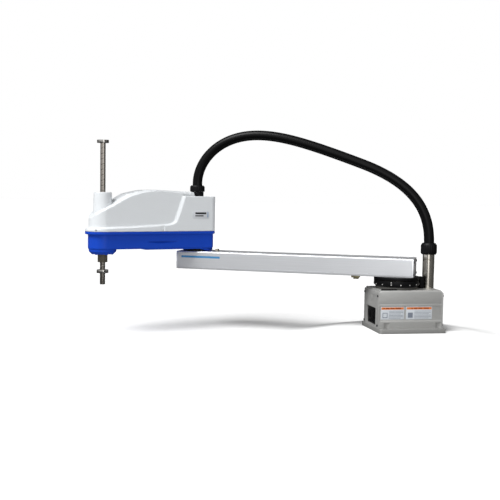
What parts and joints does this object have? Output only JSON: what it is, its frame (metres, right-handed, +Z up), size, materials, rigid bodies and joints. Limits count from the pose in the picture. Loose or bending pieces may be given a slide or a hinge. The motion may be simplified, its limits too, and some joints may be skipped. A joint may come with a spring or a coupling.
{
  "type": "scara robot arm",
  "caption": "Horizontal articulated robot on a low base: long slim arm, covered outer arm with vertical tool shaft, and an arched cable conduit from base to head.",
  "frame": {"origin": "on the first joint's axis at the base's mounting face", "axes": "+X forward, away from the conduit pipe, and the longest way; +Z up, out of the mounting face; +Y the side with the two labels"},
  "size_m": [1.315, 0.5462, 0.7503],
  "materials": {
    "base_paint": "satin grey paint",
    "dark_screw": "black oxide",
    "black_plastic": "matt black",
    "label": "printed film",
    "black_metal": "satin black",
    "bright_steel": "machined",
    "bearing_steel": "ground",
    "motor_black": "satin black",
    "pipe_steel": "brushed lengthways",
    "anodised": "satin anodised",
    "brass_plate": "yellow passivated",
    "blue_paint": "gloss blue paint",
    "white_cover": "satin white",
    "belt_rubber": "toothed belt",
    "badge_grey": "blank badge",
    "board": "circuit board",
    "shaft_steel": "ground screw shaft",
    "conduit_rubber": "ribbed black conduit"
  },
  "bodies": {
    "base": {"base_flange": "base_paint", "base_body": "base_paint", "base_front_plate": "base_paint", "base_rear_plate": "base_paint", "front_plate_screws": "dark_screw", "rear_plate_screws": "dark_screw", "connector_panel": "black_plastic", "connector_set": "black_plastic", "top_slot_strip": "black_plastic", "side_label_front": "label", "side_label_rear": "label", "j1_foot": "base_paint", "j1_base_ring": "black_metal", "ring_screws": "bright_steel", "j1_bearing_outer": "bearing_steel", "j1_reducer": "bearing_steel", "j1_motor": "motor_black", "stop_block": "black_metal", "conduit_pipe": "pipe_steel", "conduit_coupling": "black_plastic", "cable_conduit": "conduit_rubber"},
    "arm1": {"j1_turntable": "black_metal", "j1_bearing_inner": "bearing_steel", "arm1_profile": "anodised", "arm1_rear_cap": "anodised", "arm1_front_cap": "anodised", "cap_screws": "dark_screw", "under_bracket": "brass_plate", "j2_pedestal": "black_metal", "j2_stop_block": "bearing_steel"},
    "arm2": {"arm2_casting": "blue_paint", "arm2_cover": "white_cover", "cover_screws": "bright_steel", "j2_bearing_outer": "bearing_steel", "j2_reducer": "bearing_steel", "j2_motor": "motor_black", "spindle_bearing": "bearing_steel", "upper_bearing_plate": "anodised", "ball_nut_bearing": "bearing_steel", "j3_bracket": "anodised", "j3_motor": "motor_black", "j4_bracket": "anodised", "j4_motor": "motor_black", "j3_belt": "belt_rubber", "j4_belt": "belt_rubber", "gland_body": "black_plastic", "gland_nut": "black_plastic", "cover_badge": "badge_grey", "control_board": "board"},
    "nut4": {"spline_nut": "bearing_steel", "j4_driven_pulley": "anodised"},
    "nut3": {"ball_nut": "bearing_steel", "j3_driven_pulley": "anodised"},
    "shaft": {"spline_shaft": "shaft_steel", "upper_collar": "bright_steel", "lower_collar": "bright_steel", "collar_screws": "dark_screw"},
    "drive3": {"j3_motor_pulley": "anodised"},
    "drive4": {"j4_motor_pulley": "anodised"}
  },
  "joints": [
    {"name": "j1_shoulder", "type": "hinge", "parent": "base", "child": "arm1", "pos_m": [0, 0, 0.178], "axis": [0, 0, 1], "range_deg": [-99, 151], "deforming": ["cable_conduit"]},
    {"name": "j2_elbow", "type": "hinge", "parent": "arm1", "child": "arm2", "pos_m": [0.71904, -0.3507, 0.29], "axis": [0, 0, 1], "range_deg": [-192, 98]},
    {"name": "j4_tool_turn", "type": "hinge", "parent": "arm2", "child": "nut4", "pos_m": [1.09247, -0.20735, 0.28], "axis": [0, 0, 1], "range_deg": [-360, 360]},
    {"name": "j3_tool_lift", "type": "slide", "parent": "nut4", "child": "shaft", "axis": [0, 0, 1], "range_m": [-0.182, 0.027]},
    {"name": "ball_nut_turn", "type": "hinge", "parent": "nut4", "child": "nut3", "pos_m": [1.09247, -0.20735, 0.35], "axis": [0, 0, 1], "continuous": true},
    {"name": "j3_motor_turn", "type": "hinge", "parent": "arm2", "child": "drive3", "pos_m": [0.99911, -0.24319, 0.36], "axis": [0, 0, 1], "continuous": true},
    {"name": "j4_motor_turn", "type": "hinge", "parent": "arm2", "child": "drive4", "pos_m": [0.91975, -0.27365, 0.31], "axis": [0, 0, 1], "continuous": true}
  ],
  "couplings": [
    {"joint": "ball_nut_turn", "follows": "j3_tool_lift", "rad_per_m": 314.16},
    {"joint": "j3_motor_turn", "follows": "j3_tool_lift", "rad_per_m": 586.43},
    {"joint": "j4_motor_turn", "follows": "j4_tool_turn", "ratio": 1.8667}
  ]
}
